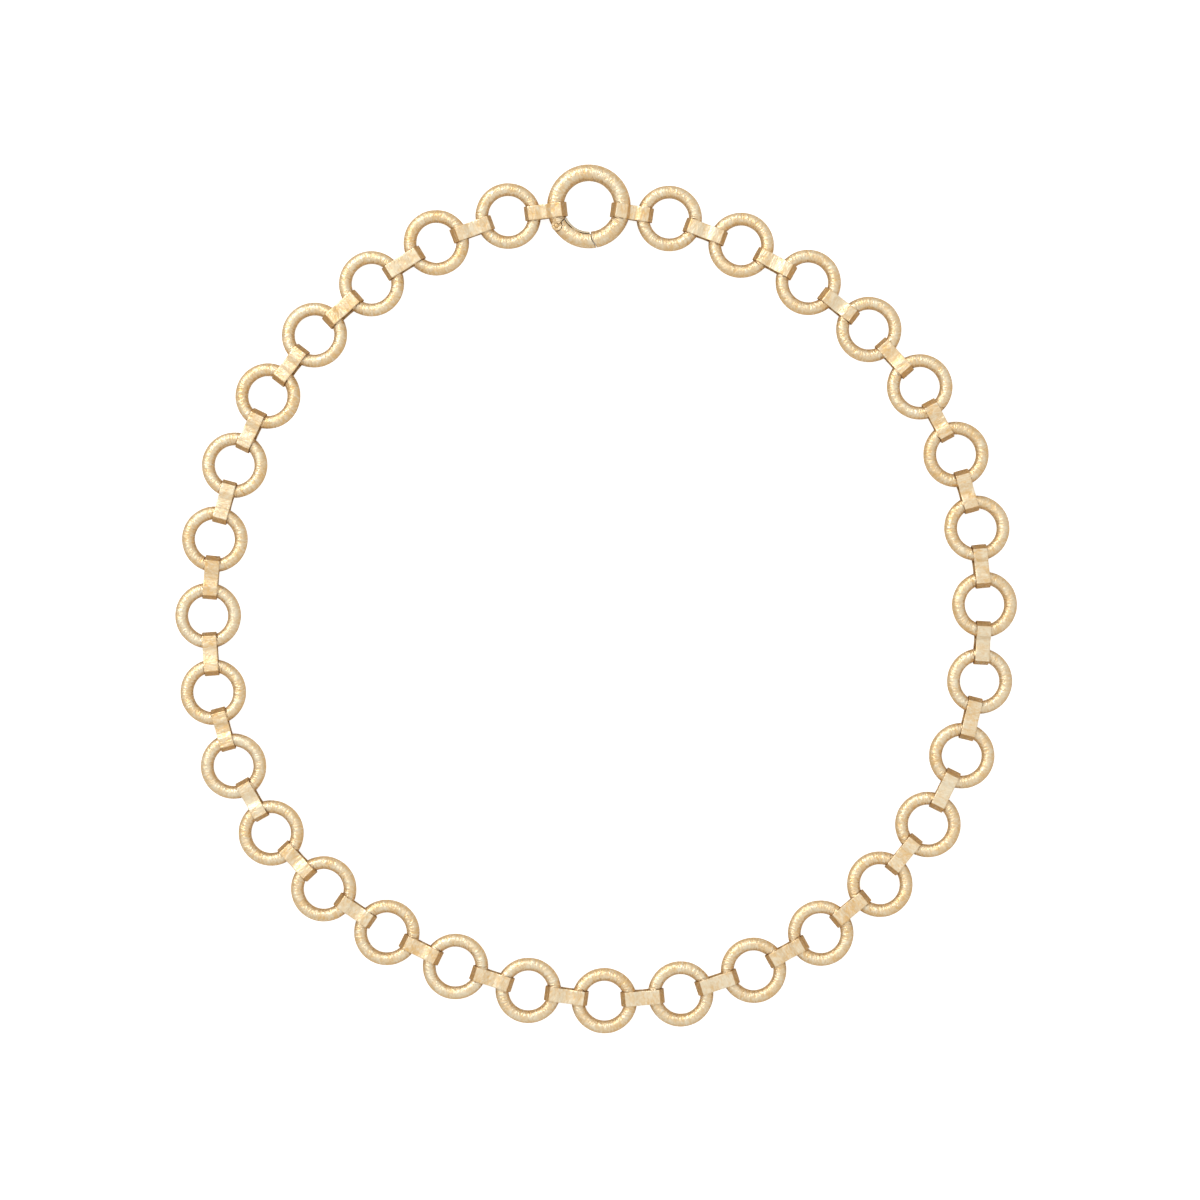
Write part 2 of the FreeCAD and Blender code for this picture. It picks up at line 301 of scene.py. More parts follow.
def ramp(value, start, end):
    """0 at the start of a range and 1 at its end."""
    return np.clip((value - start) / (end - start), 0, 1)


# Where a round wire's sides are painted deeper as shade, and where wear stops paling its top: how level
# its surface's normal is there, first and last.
SHADE_AND_WEAR_LEVELS = (0.45, 0.95)

# How many points a small ring has round the ring and round its wire.
RING_GRID = (288, 32)


def wire_side(section):
    """How far a round wire's surface faces sideways: painted deeper as shade, out of reach of wear."""
    return ramp(np.abs(np.cos(section)), *SHADE_AND_WEAR_LEVELS)


def wire_ring(name, ring, seed, material):
    """A closed ring of round wire with a worked surface."""
    rows, columns = RING_GRID
    around, section = np.meshgrid(
        np.arange(rows) * 2 * math.pi / rows, np.arange(columns) * 2 * math.pi / columns, indexing="ij"
    )
    depth = engraved(np.random.default_rng(seed), RING_LINES, around, section)
    points = torus_points(RING_RADIUS, WIRE_RADIUS - depth, around, section).reshape(-1, 3)
    work = wire_work(RING_RADIUS, WIRE_RADIUS, around, section)
    faces = wrapped_faces(rows, columns)
    return new_piece(name, points, faces, ring_matrix(*ring), work, material, wire_side(section))


# ---------------------------------------------------------------- connectors

# What differs from connector to connector, in millimetres: how far the waist dips, how far out the crease
# lies, where the shoulder starts, how long half the waist is, and how far its middle is shifted.
WAIST_DIPS = (0.18, 0.38)
CREASES = (0.72, 0.95)
SHOULDERS = (0.5, 0.9)
WAIST_HALVES = (0.4, 0.7)
WAIST_SHIFT = 0.15

# Half the height of a connector's end face, and how far each kind of corner is rounded.
END_HALF = 0.45
END_BEND = 0.30
CREASE_BEND = 0.10
SHOULDER_BEND = 0.22
WAIST_BEND = 0.14

# The inner line's corners are rounded this much of the outer line's.
INNER_BEND = 0.6

# How many points a rounded corner has, and each straight run of half the line after it.
BEND_STEPS = 4
RUN_STEPS = [8, 9, 8, 7, 8, 9, 8, 5]

# The strip's section: points across a face, the edge's softening, and how near its corner the edge passes.
ACROSS_STEPS = 13
EDGE_SOFTENING = 0.07
EDGE_SHARE = 0.3

# The engraving's angle across the strip for each millimetre, and how fast it fades over the strip's edge.
ACROSS_ANGLE = 1.1
EDGE_FADE = 3

# Where a connector's end and edge are painted deeper as shade, and how dark its inside and its ends are
# painted as shade.
END_LEVELS = (0.25, 0.70)
SHADED_EDGE = 0.06
INSIDE_SHADE = 0.5
END_SHADE = 0.12


def offset_corners(corners, distance):
    """A closed clockwise line moved inward by a distance, corner by corner."""
    before = corners - np.roll(corners, 1, axis=0)
    normal = np.stack([before[:, 1], -before[:, 0]], axis=1)
    normal /= np.linalg.norm(normal, axis=1)[:, None]
    following = np.roll(normal, -1, axis=0)
    shared = 1 + (normal * following).sum(axis=1)
    return corners + distance * (normal + following) / shared[:, None]


def rounded(corners, trims):
    """A closed line with its corners rounded by curves that start a trim before each corner."""
    runs = RUN_STEPS * 2
    line = []
    for index, corner in enumerate(corners):
        before, after = corners[index - 1], corners[(index + 1) % len(corners)]
        start = corner + (before - corner) / np.linalg.norm(before - corner) * trims[index]
        end = corner + (after - corner) / np.linalg.norm(after - corner) * trims[index]
        for t in np.linspace(0, 1, BEND_STEPS + 1):
            line.append((1 - t) ** 2 * start + 2 * t * (1 - t) * corner + t**2 * end)
        trim = trims[(index + 1) % len(corners)]
        goal = after + (corner - after) / np.linalg.norm(corner - after) * trim
        for t in np.linspace(0, 1, runs[index] + 1)[1:-1]:
            line.append(end + t * (goal - end))
    return np.array(line)


def band_corners(span, half_a, half_b, random):
    """The outer line of a connector seen from the side, and how far each corner is rounded."""
    waist = min(half_a, half_b) - random.uniform(*WAIST_DIPS)
    crease_a, crease_b = random.uniform(*CREASES, 2)
    crease_b += half_b - half_a
    shoulder_a, shoulder_b = random.uniform(*SHOULDERS, 2)
    middle = span / 2 + random.uniform(-WAIST_SHIFT, WAIST_SHIFT)
    waist_half = random.uniform(*WAIST_HALVES)
    upper = [
        (-half_a, END_HALF, END_BEND),
        (-crease_a, half_a, CREASE_BEND),
        (shoulder_a, half_a, SHOULDER_BEND),
        (middle - waist_half, waist, WAIST_BEND),
        (middle + waist_half, waist, WAIST_BEND),
        (span - shoulder_b, half_b, SHOULDER_BEND),
        (span + crease_b, half_b, CREASE_BEND),
        (span + half_b, END_HALF, END_BEND),
    ]
    lower = [(along, -height, trim) for along, height, trim in reversed(upper)]
    table = np.array(upper + lower)
    return table[:, :2], table[:, 2]


def strip_section():
    """Across the strip: (place across the width, depth under the outer face), round the section."""
    half, edge = BAND_WIDTH / 2, EDGE_SOFTENING
    near = EDGE_SHARE * edge
    across = list(np.linspace(edge - half, half - edge, ACROSS_STEPS))
    outer = [(y, 0.0) for y in across]
    right = [(half - near, near), (half, edge), (half, BAND_THICKNESS - edge)]
    right.append((half - near, BAND_THICKNESS - near))
    inner = [(y, BAND_THICKNESS) for y in across[::-2]]
    left = [(-y, depth) for y, depth in reversed(right)]
    return np.array(outer + right + inner + left)


def band(name, start, end, end_is_clasp, seed, material):
    """A strip folded round two rings' wires, with creases, a pinched waist and rounded edges."""
    random = np.random.default_rng(seed)
    reach, half = (CLASP_EYELET, CLASP_HEIGHT) if end_is_clasp else (RING_EYELET, RING_HEIGHT)
    first, first_wire = wire_at(start, end[0], RING_EYELET)
    last, last_wire = wire_at(end, start[0], reach)
    along = last - first
    span = along.length
    along.normalize()
    up = along.cross(first_wire - last_wire).normalized()
    matrix = axes_matrix(first, along, up.cross(along), up)

    corners, trims = band_corners(span, RING_HEIGHT - BAND_INSET, half - BAND_INSET, random)
    outer = rounded(corners, trims)
    inner = rounded(offset_corners(corners, BAND_THICKNESS), trims * INNER_BEND)
    section = strip_section()
    share = (section[:, 1] / BAND_THICKNESS)[None, :, None]
    line = outer[:, None, :] * (1 - share) + inner[:, None, :] * share

    ahead = np.roll(outer, -1, axis=0) - np.roll(outer, 1, axis=0)
    inward = np.stack([ahead[:, 1], -ahead[:, 0]], axis=1)
    inward /= np.linalg.norm(inward, axis=1)[:, None]
    walked = np.cumsum(np.linalg.norm(np.roll(outer, -1, axis=0) - outer, axis=1))
    around = walked[:, None] * 2 * math.pi / walked[-1]
    depth = engraved(random, RING_LINES, around, section[None, :, 0] * ACROSS_ANGLE)
    depth = depth * np.clip(1 - EDGE_FADE * share[:, :, 0], 0, 1)
    line = line + inward[:, None, :] * depth[:, :, None]
    wide = np.broadcast_to(section[None, :, 0], line.shape[:2])
    points = np.stack([line[:, :, 0], wide, line[:, :, 1]], axis=-1)
    rows, columns = points.shape[:2]
    work = work_vector(walked[-1], np.broadcast_to(around, wide.shape), wide)
    hidden = np.broadcast_to(share[:, :, 0], wide.shape)
    # Painted shade: the steep ends, side edges and inner face go deeper, the inside and ends darker still.
    on_end = ramp(np.abs(inward[:, :1]), *END_LEVELS)
    on_edge = ramp(np.abs(wide), BAND_WIDTH / 2 - SHADED_EDGE, BAND_WIDTH / 2)
    side = np.maximum(np.maximum(on_end, on_edge), hidden)
    crevice = np.maximum(INSIDE_SHADE * hidden, END_SHADE * on_end)
    points, faces = points.reshape(-1, 3), wrapped_faces(rows, columns)
    return new_piece(name, points, faces, matrix, work, material, side, crevice)


# ---------------------------------------------------------------- clasp


# The size of the even mesh's cells, in millimetres. The gate's is finer, for its slot.
RING_VOXEL = 0.08
GATE_VOXEL = 0.055


def remeshed(points, triangles, voxel):
    """An even mesh of a closed solid, with its edges softened."""
    mesh = bpy.data.meshes.new("to_remesh")
    mesh.from_pydata(points.tolist(), [], triangles.tolist())
    solid = bpy.data.objects.new("to_remesh", mesh)
    bpy.context.scene.collection.objects.link(solid)
    remesh = solid.modifiers.new("remesh", "REMESH")
    remesh.mode = "VOXEL"
    remesh.voxel_size = voxel
    smooth = solid.modifiers.new("smooth", "SMOOTH")
    smooth.factor = 0.5
    smooth.iterations = 2
    depsgraph = bpy.context.evaluated_depsgraph_get()
    made = bpy.data.meshes.new_from_object(solid.evaluated_get(depsgraph))
    points = np.zeros(len(made.vertices) * 3)
    made.vertices.foreach_get("co", points)
    faces = [tuple(polygon.vertices) for polygon in made.polygons]
    bpy.data.objects.remove(solid)
    bpy.data.meshes.remove(mesh)
    bpy.data.meshes.remove(made)
    return points.reshape(-1, 3), faces


# The clasp's cuts, as radii in millimetres and bearings in degrees.
TIP_CUT = ((4.55, 273.0), (6.1, 275.2), (7.65, 280.6))
HINGE_CUT = ((4.55, 204.0), (7.65, 213.5))

# The faces either side of the slot, the bearings of the tongue and of the boss that holds it, and the pin.
TONGUE_FACE = 4.91
SLOT_FACE = 5.07
TONGUE_ARC = (206.7, 271.5)
BOSS_ARC = (232.0, 248.0)
PIN_BEARING = 211.0
PIN_REACH = 6.8

# How far the cuts' faces are moved together under the surface, in millimetres. Each pair runs from none of
# that to all of it: how far from the cut, how far under the wire's surface, and how far from the pin.
CUT_CLOSING = 0.05
CUT_NEAR = (0.40, 0.10)
TIP_UNDER = (0.08, 0.35)
HINGE_UNDER = (0.05, 0.25)
CLEAR_OF_PIN = (1.1, 1.4)

# How far the slot is closed up behind the tongue, in millimetres, and in the same way how far beyond its
# face, how high, where it is painted dark as shade and tarnish, how far under the surface, and where in
# degrees it ends at the boss.
SLOT_CLOSING = 0.14
SLOT_NEAR = (0.4, 0.1)
SLOT_HEIGHTS = (0.75, 0.45)
SLOT_DARK = (0.12, 0.02)
SLOT_UNDER = (0.10, 0.25)
BOSS_ENDS = (-0.5, 1.0)

# Where the cuts are painted dark as shade and tarnish, and how much of that darkens the edge round the pin.
CUT_DARK = (0.20, 0.11)
CUT_DARK_UNDER = (0.0, 0.09)
PIN_DARK = (1.1, 0.95)
PIN_SHADE_AND_TARNISH = 0.15


def past_cut(cut, bearing, radius):
    """How far a point lies past a cut in the clasp's wire, along the wire."""
    radii, bearings = zip(*cut)
    return np.radians(bearing - np.interp(radius, radii, bearings)) * radius


def off_boss(bearing):
    """1 where the slot behind the tongue is open, and 0 at the boss."""
    middle, half = sum(BOSS_ARC) / 2, (BOSS_ARC[1] - BOSS_ARC[0]) / 2
    return ramp(np.abs(bearing - middle), half + BOSS_ENDS[0], half + BOSS_ENDS[1])


def cut_closing(radius, bearing, under, from_pin):
    """How far round, in radians, points near the cuts are moved so that the cut faces meet."""
    past_tip = past_cut(TIP_CUT, bearing, radius)
    past_hinge = past_cut(HINGE_CUT, bearing, radius)
    tip_share = ramp(np.abs(past_tip), *CUT_NEAR) * ramp(under, *TIP_UNDER)
    hinge_share = ramp(np.abs(past_hinge), *CUT_NEAR) * ramp(under, *HINGE_UNDER)
    hinge_share = hinge_share * ramp(from_pin, *CLEAR_OF_PIN)
    return -CUT_CLOSING * (np.sign(past_tip) * tip_share + np.sign(past_hinge) * hinge_share) / radius


def cut_shade_and_tarnish(radius, bearing, under, from_pin):
    """How dark the cuts and the pin's edge are painted, as shade and tarnish."""
    past_tip = past_cut(TIP_CUT, bearing, radius)
    past_hinge = past_cut(HINGE_CUT, bearing, radius)
    cut_near = np.minimum(np.abs(past_tip), np.abs(past_hinge))
    at_cut = ramp(cut_near, *CUT_DARK) * ramp(under, *CUT_DARK_UNDER)
    return np.maximum(at_cut, PIN_SHADE_AND_TARNISH * ramp(from_pin, *PIN_DARK))


def pressed_together(node, points):
    """Clasp points with its cut faces pressed together under the surface, and how dark each point is
    painted as shade and tarnish.
    """
    bearing = np.degrees(np.arctan2(points[:, 1], points[:, 0])) % 360
    radius = np.hypot(points[:, 0], points[:, 1])
    under = CLASP_WIRE_RADIUS - np.hypot(radius - CLASP_RADIUS, points[:, 2])
    pin = PIN_REACH * np.cos(np.radians(PIN_BEARING)), PIN_REACH * np.sin(np.radians(PIN_BEARING))
    from_pin = np.hypot(points[:, 0] - pin[0], points[:, 1] - pin[1])
    turn = cut_closing(radius, bearing, under, from_pin)
    crevice = cut_shade_and_tarnish(radius, bearing, under, from_pin)
    if node == "clasp_gate":
        in_slot = off_boss(bearing) * (bearing > TONGUE_ARC[0]) * (bearing < TONGUE_ARC[1])
        slot_share = ramp(radius, SLOT_FACE + SLOT_NEAR[0], SLOT_FACE + SLOT_NEAR[1])
        slot_share = slot_share * ramp(np.abs(points[:, 2]), *SLOT_HEIGHTS)
        radius = radius - in_slot * SLOT_CLOSING * slot_share
        # The slot behind the tongue is painted dark as shade and tarnish.
        slot = ramp(radius, SLOT_FACE + SLOT_DARK[0], SLOT_FACE + SLOT_DARK[1])
        slot = slot * ramp(under, *SLOT_UNDER)
        crevice = np.maximum(crevice, in_slot * slot)
    angle = np.radians(bearing) + turn
    return np.stack([radius * np.cos(angle), radius * np.sin(angle), points[:, 2]], axis=-1), crevice


# A remeshed point counts as part of the round wire by how many of these shares of a cell it lies off it.
ON_WIRE_SHARE = 0.5
ON_WIRE_FADE = 1.5


def clasp_piece(name, node, voxel, seed, material):
    """A clasp part evened out from its CAD solid, with a worked surface on its round wire."""
    matrix = ring_matrix(*RINGS["clasp", 0])
    to_local = np.array(matrix.inverted())
    points, triangles = node_mesh(node)
    points = points @ to_local[:3, :3].T + to_local[:3, 3]
    points, faces = remeshed(points, triangles, voxel)
    around = np.arctan2(points[:, 1], points[:, 0])
    outward = np.hypot(points[:, 0], points[:, 1]) - CLASP_RADIUS
    section = np.arctan2(points[:, 2], outward)
    radius = np.hypot(outward, points[:, 2])
    off = radius - CLASP_WIRE_RADIUS
    on_wire = np.clip(ON_WIRE_FADE - np.abs(off) / (ON_WIRE_SHARE * voxel), 0, 1)
    depth = engraved(np.random.default_rng(seed), CLASP_LINES, around, section)
    radius = radius - on_wire * (off + depth)
    points = torus_points(CLASP_RADIUS, radius, around, section)
    points, crevice = pressed_together(node, points)
    work = wire_work(CLASP_RADIUS, CLASP_WIRE_RADIUS, around, section)
    return new_piece(name, points, faces, matrix, work, material, wire_side(section), crevice)


def outward_faces(points, faces):
    """Faces turned so that they face out of the closed surface that they make."""
    triangles = [(face[0], face[i], face[i + 1]) for face in faces for i in range(1, len(face) - 1)]
    a, b, c = points[np.array(triangles)].transpose(1, 0, 2)
    if np.einsum("ij,ij->", a, np.cross(b, c)) < 0:
        faces = [face[::-1] for face in faces]
    return faces


# The tongue's mesh: the softening of its edges in millimetres, how much its end rows shrink and how far in
# degrees they lie beyond the rest, and its points over the round face, over the flat face and along it.
TONGUE_SOFTENING = 0.05
TONGUE_END_SHARE = 0.88
TONGUE_END_STEP = 0.4
TONGUE_ROUND_STEPS = 17
TONGUE_FLAT_STEPS = 13
TONGUE_ROWS = 90
# Where the tongue's flat face, toward the slot, is painted dark as shade and tarnish, from its edges in.
TONGUE_DARK = (0.05, 0.20)


def snap_tongue(name, material):
    """The clasp's thin tongue: a slice of the wire's inner side, swept along the gate, with soft edges."""
    corner = math.acos((CLASP_RADIUS - TONGUE_FACE) / CLASP_WIRE_RADIUS)
    arc = np.linspace(-corner + TONGUE_SOFTENING, corner - TONGUE_SOFTENING, TONGUE_ROUND_STEPS)
    top = CLASP_WIRE_RADIUS * math.sin(corner) - TONGUE_SOFTENING
    flat = np.linspace(top, -top, TONGUE_FLAT_STEPS)
    reach = np.append(CLASP_RADIUS - CLASP_WIRE_RADIUS * np.cos(arc), np.full(len(flat), TONGUE_FACE))
    height = np.append(CLASP_WIRE_RADIUS * np.sin(arc), flat)
    on_flat = np.append(np.zeros(len(arc)), ramp(top - np.abs(flat), *TONGUE_DARK))

    first, last = TONGUE_ARC
    middle = np.linspace(first + TONGUE_END_STEP, last - TONGUE_END_STEP, TONGUE_ROWS)
    bearings = np.concatenate([[first], middle, [last]])
    share = np.ones(len(bearings))
    share[[0, -1]] = TONGUE_END_SHARE
    row_reach = reach.mean() + share[:, None] * (reach - reach.mean())
    angle = np.radians(bearings)[:, None]
    points = [row_reach * np.cos(angle), row_reach * np.sin(angle), share[:, None] * height]
    points = np.stack(points, axis=-1).reshape(-1, 3)
    rows, columns = len(bearings), len(reach)
    faces = wrapped_faces(rows, columns)[: (rows - 1) * columns]
    faces.append(list(range(columns))[::-1])
    faces.append(list(range((rows - 1) * columns, rows * columns)))
    faces = outward_faces(points, faces)
    # The flat face is painted dark as shade and tarnish, except where the boss holds it.
    crevice = off_boss(bearings)[:, None] * on_flat
    matrix = ring_matrix(*RINGS["clasp", 0])
    return new_piece(name, points, faces, matrix, points.astype(np.float32), material, None, crevice)


# The hinge pin, in millimetres: its size, its edge's softening and how its ends rise, from the middle out.
PIN_SIDES = 40
PIN_RADIUS = 0.4
PIN_LENGTH = 2.6
PIN_EDGE = 0.08
PIN_DOME = (0.012, 0.04, 0.06)


def pin_profile():
    """The pin end's outline from its middle out: (radius, depth under the end)."""
    inner, outer, lip = PIN_DOME
    profile = [(0.5 * PIN_RADIUS, inner), (PIN_RADIUS - PIN_EDGE, outer)]
    return profile + [(PIN_RADIUS - EDGE_SHARE * PIN_EDGE, lip), (PIN_RADIUS, PIN_EDGE + outer)]


def hinge_pin(name, material):
    """The clasp's hinge pin: round, with softly domed ends."""
    low, high = (np.array(corner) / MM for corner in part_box("clasp_hinge_pin"))
    top = PIN_LENGTH / 2
    rows = [(r, top - z) for r, z in pin_profile()]
    rows += [(r, z - top) for r, z in pin_profile()[::-1]]
    turns = np.arange(PIN_SIDES) * 2 * math.pi / PIN_SIDES
    points = [(r * math.cos(t), r * math.sin(t), z) for r, z in rows for t in turns]
    points += [(0, 0, top), (0, 0, -top)]
    faces = []
    for row in range(len(rows) - 1):
        for side in range(PIN_SIDES):
            following = (side + 1) % PIN_SIDES
            upper, lower = row * PIN_SIDES, (row + 1) * PIN_SIDES
            faces.append((upper + side, lower + side, lower + following, upper + following))
    last = (len(rows) - 1) * PIN_SIDES
    for side in range(PIN_SIDES):
        following = (side + 1) % PIN_SIDES
        faces.append((len(points) - 2, side, following))
        faces.append((len(points) - 1, last + following, last + side))
    matrix = ring_matrix(Vector((low + high) / 2), RINGS["clasp", 0][1])
    return new_piece(name, points, faces, matrix, np.array(points, np.float32), material)


# ---------------------------------------------------------------- materials

# How far each piece's pattern is moved from the next one's, in millimetres at most.
PIECE_SHIFT = 90.0

# How much rougher the crevices, painted dark as shade and tarnish, are than clean gold.
TARNISH_ROUGH = 0.3

# The engraved gold's patterns, in cells for each millimetre: round the piece twice over, then across it.
LINE_CELLS = (6.0, 6.0, 0.6)
DASH_CELLS = (2.3, 2.3, 0.9)
GLINT_CELLS = (3.4, 3.4, 1.3)
BLOTCH_CELLS = 0.5
GRAIN_CELLS = 4.0

# What makes the patterns wander, and how far in millimetres.
WANDER_CELLS = 0.9
WANDER_REACH = (0.5, 0.5, 0.5)

# What each pattern adds to the colour's tone, how much pieces differ, and the tones that span the colours.
BLOTCH_TONE, DASH_TONE, GRAIN_TONE = 0.45, 0.30, 0.25
OWN_TONE = 0.05
TONES = (0.36, 0.60)

# Where the painted glints start and are complete, and how far they lighten the colour.
GLINTS = (0.50, 0.70)
GLINT_SHARE = 0.40

# What each pattern adds to the relief.
LINE_RELIEF, DASH_RELIEF, GLINT_RELIEF, GRAIN_RELIEF = 0.35, 1.3, 1.0, 0.45

# Roughness: a pattern's range, and the roughness that it is stretched to.
GLINT_ROUGH = (0.4, 0.7, 0.12, 0.0)
BLOTCH_ROUGH = (0.3, 0.7, 0.26, 0.38)
WIPED_ROUGH = (0.3, 0.7, 0.12, 0.24)
FILED_ROUGH = (0.3, 0.7, 0.50, 0.38)

# The polished gold's clouding and wiping marks, in cells for each millimetre, and the marks' relief.
CLOUD_CELLS = 1.2
WIPED_CELLS = (1.5, 1.5, 9.0)
WIPED_STRENGTH, WIPED_DEPTH = 0.4, 0.00003

# The pin's spots in cells for each millimetre, the pale they reach, its all-over tarnish, and their relief.
SPOT_CELLS = 2.2
SPOT_TONES = (0.35, 0.65, 0.0, 0.5)
PIN_DULLNESS = 0.12
SPOT_STRENGTH, SPOT_DEPTH = 0.6, 0.00004

# Colours of the gold, from its painted glints to the painted shade and tarnish in its crevices, and how
# deep the relief is in metres.
GLEAM = (0.98, 0.86, 0.62, 1)
PAINTED_GLINT = (0.92, 0.85, 0.68, 1)
PALE = (0.80, 0.68, 0.48, 1)
DEEP = (0.74, 0.48, 0.21, 1)
TARNISH_AND_SHADE = (0.16, 0.08, 0.03, 1)
WHITE = (1, 1, 1, 1)
WIRE_RELIEF = 0.00012
BAND_RELIEF = 0.00006


class Nodes:
    """Short calls for building a material's nodes."""

    def __init__(self, name):
        self.material = bpy.data.materials.new(name)
        self.material.use_nodes = True
        self.tree = self.material.node_tree
        self.shader = self.tree.nodes["Principled BSDF"]

    def add(self, kind, inputs=None, **settings):
        """A node with settings, and with inputs that are values or other nodes' outputs."""
        node = self.tree.nodes.new(kind)
        for key, value in settings.items():
            setattr(node, key, value)
        for key, value in (inputs or {}).items():
            self.put(node.inputs[key], value)
        return node

    def put(self, socket, value):
        """Links an output to a socket, or sets the socket's own value."""
        if isinstance(value, bpy.types.NodeSocket):
            self.tree.links.new(value, socket)
        else:
            socket.default_value = value

    def noise(self, vector, scale, detail=2.0, roughness=0.5):
        """A noise's single value over a vector."""
        inputs = {"Vector": vector, "Scale": scale, "Detail": detail, "Roughness": roughness}
        return self.add("ShaderNodeTexNoise", inputs).outputs["Fac"]

    def spread(self, value, low, high, to_low, to_high):
        """A value's range stretched to another range, and kept inside it."""
        inputs = {"Value": value, "From Min": low, "From Max": high, "To Min": to_low, "To Max": to_high}
        return self.add("ShaderNodeMapRange", inputs).outputs["Result"]

    def mix(self, factor, a, b):
        """Two colours mixed."""
        node = self.add("ShaderNodeMix", data_type="RGBA")
        self.put(node.inputs[0], factor)
        self.put(node.inputs[6], a)
        self.put(node.inputs[7], b)
        return node.outputs[2]

    def maths(self, operation, a, b):
        """One sum of two numbers."""
        node = self.add("ShaderNodeMath", operation=operation)
        self.put(node.inputs[0], a)
        self.put(node.inputs[1], b)
        return node.outputs[0]

    def weighted(self, *parts):
        """The sum of values, each times its weight."""
        total, *others = [self.maths("MULTIPLY", value, weight) for value, weight in parts]
        for part in others:
            total = self.maths("ADD", total, part)
        return total

    def vector(self, operation, a, b):
        """One sum of two vectors."""
        node = self.add("ShaderNodeVectorMath", operation=operation)
        self.put(node.inputs[0], a)
        self.put(node.inputs[1], b)
        return node.outputs[0]

    def stretched(self, vector, cells, detail=2.0, roughness=0.5):
        """A noise with a different number of cells along each of the vector's parts."""
        return self.noise(self.vector("MULTIPLY", vector, cells), 1.0, detail, roughness)

    def bumped(self, height, strength, depth):
        """Sets the relief of the surface."""
        bump = self.add("ShaderNodeBump", {"Strength": strength, "Distance": depth, "Height": height})
        self.put(self.shader.inputs["Normal"], bump.outputs["Normal"])

    def shade(self, name):
        """What a piece's points say of a shade, such as its crevices."""
        return self.add("ShaderNodeAttribute", attribute_name=name).outputs["Fac"]

    def own(self):
        """A number from 0 to 1 that is different for each piece."""
        return self.add("ShaderNodeObjectInfo").outputs["Random"]

    def work(self):
        """The engraving's vector in millimetres, moved by a different amount for each piece."""
        work = self.add("ShaderNodeAttribute", attribute_name="work").outputs["Vector"]
        amount = self.maths("MULTIPLY", self.own(), PIECE_SHIFT)
        shift = self.add("ShaderNodeCombineXYZ", {"X": amount, "Y": amount, "Z": amount})
        return self.vector("ADD", work, shift.outputs[0])


def in_crevices(nodes, colour, rough):
    """Sets a gold's colour and roughness, with the crevices painted dark as shade and tarnish."""
    crevice = nodes.shade("crevice")
    rough = nodes.maths("ADD", rough, nodes.maths("MULTIPLY", crevice, TARNISH_ROUGH))
    nodes.put(nodes.shader.inputs["Base Color"], nodes.mix(crevice, colour, TARNISH_AND_SHADE))
    nodes.put(nodes.shader.inputs["Roughness"], rough)
    nodes.shader.inputs["Metallic"].default_value = 1.0


def engraved_gold(name, depth):
    """Satin gold with fine lines and short dashes cut across it, mottled and a little worn on top, with
    painted glints, its sides painted deeper as shade and its crevices painted dark as shade and tarnish.
    """
    nodes = Nodes(name)
    work = nodes.work()
    wander = {"Vector": work, "Scale": WANDER_CELLS, "Detail": 1.0}
    wander = nodes.add("ShaderNodeTexNoise", wander).outputs["Color"]
    work = nodes.vector("ADD", work, nodes.vector("MULTIPLY", wander, WANDER_REACH))
    lines = nodes.stretched(work, LINE_CELLS, 2.0, 0.6)
    dashes = nodes.stretched(work, DASH_CELLS, 1.0)
    glints = nodes.stretched(work, GLINT_CELLS, 1.0)
    blotch = nodes.noise(work, BLOTCH_CELLS, 3.0)
    grain = nodes.noise(work, GRAIN_CELLS, 3.0, 0.6)

    tone = nodes.weighted((blotch, BLOTCH_TONE), (dashes, DASH_TONE), (grain, GRAIN_TONE))
    tone = nodes.maths("ADD", tone, nodes.spread(nodes.own(), 0.0, 1.0, -OWN_TONE, OWN_TONE))
    # Painted shade: sideways faces are painted deeper, and only the rest is paled as by wear.
    worn = nodes.spread(nodes.shade("side"), 0.0, 1.0, 1.0, 0.0)
    pale = nodes.maths("MULTIPLY", nodes.spread(tone, *TONES, 0.0, 1.0), worn)
    # Painted glints: the colour is lightened where the glint pattern is high.
    colour = nodes.mix(nodes.spread(glints, *GLINTS, 0.0, GLINT_SHARE), nodes.mix(pale, DEEP, PALE), PAINTED_GLINT)
    rough = nodes.maths("ADD", nodes.spread(glints, *GLINT_ROUGH), nodes.spread(blotch, *BLOTCH_ROUGH))
    in_crevices(nodes, colour, rough)
    relief = ((lines, LINE_RELIEF), (dashes, DASH_RELIEF), (glints, GLINT_RELIEF), (grain, GRAIN_RELIEF))
    nodes.bumped(nodes.weighted(*relief), 1.0, depth)
    return nodes.material


def polished_gold(name):
    """Polished gold with faint wiping marks, and its crevices painted dark as shade and tarnish."""
    nodes = Nodes(name)
    work = nodes.work()
    wiped = nodes.stretched(work, WIPED_CELLS)
    colour = nodes.mix(nodes.noise(work, CLOUD_CELLS, 3.0), PALE, GLEAM)
    in_crevices(nodes, colour, nodes.spread(wiped, *WIPED_ROUGH))
    nodes.bumped(wiped, WIPED_STRENGTH, WIPED_DEPTH)
    return nodes.material


def pin_gold(name):
    """Dull gold of a filed pin end, darker in spots."""
    nodes = Nodes(name)
    spots = nodes.noise(nodes.work(), SPOT_CELLS, 3.0, 0.6)
    colour = nodes.mix(nodes.spread(spots, *SPOT_TONES), DEEP, PALE)
    in_crevices(nodes, nodes.mix(PIN_DULLNESS, colour, TARNISH_AND_SHADE), nodes.spread(spots, *FILED_ROUGH))
    nodes.bumped(spots, SPOT_STRENGTH, SPOT_DEPTH)
    return nodes.material


ENGRAVED_GOLD = engraved_gold("engraved_gold_satin", WIRE_RELIEF)
BAND_GOLD = engraved_gold("engraved_gold_band", BAND_RELIEF)
POLISHED_GOLD = polished_gold("polished_gold_worn")
PIN_GOLD = pin_gold("pin_gold_dull")


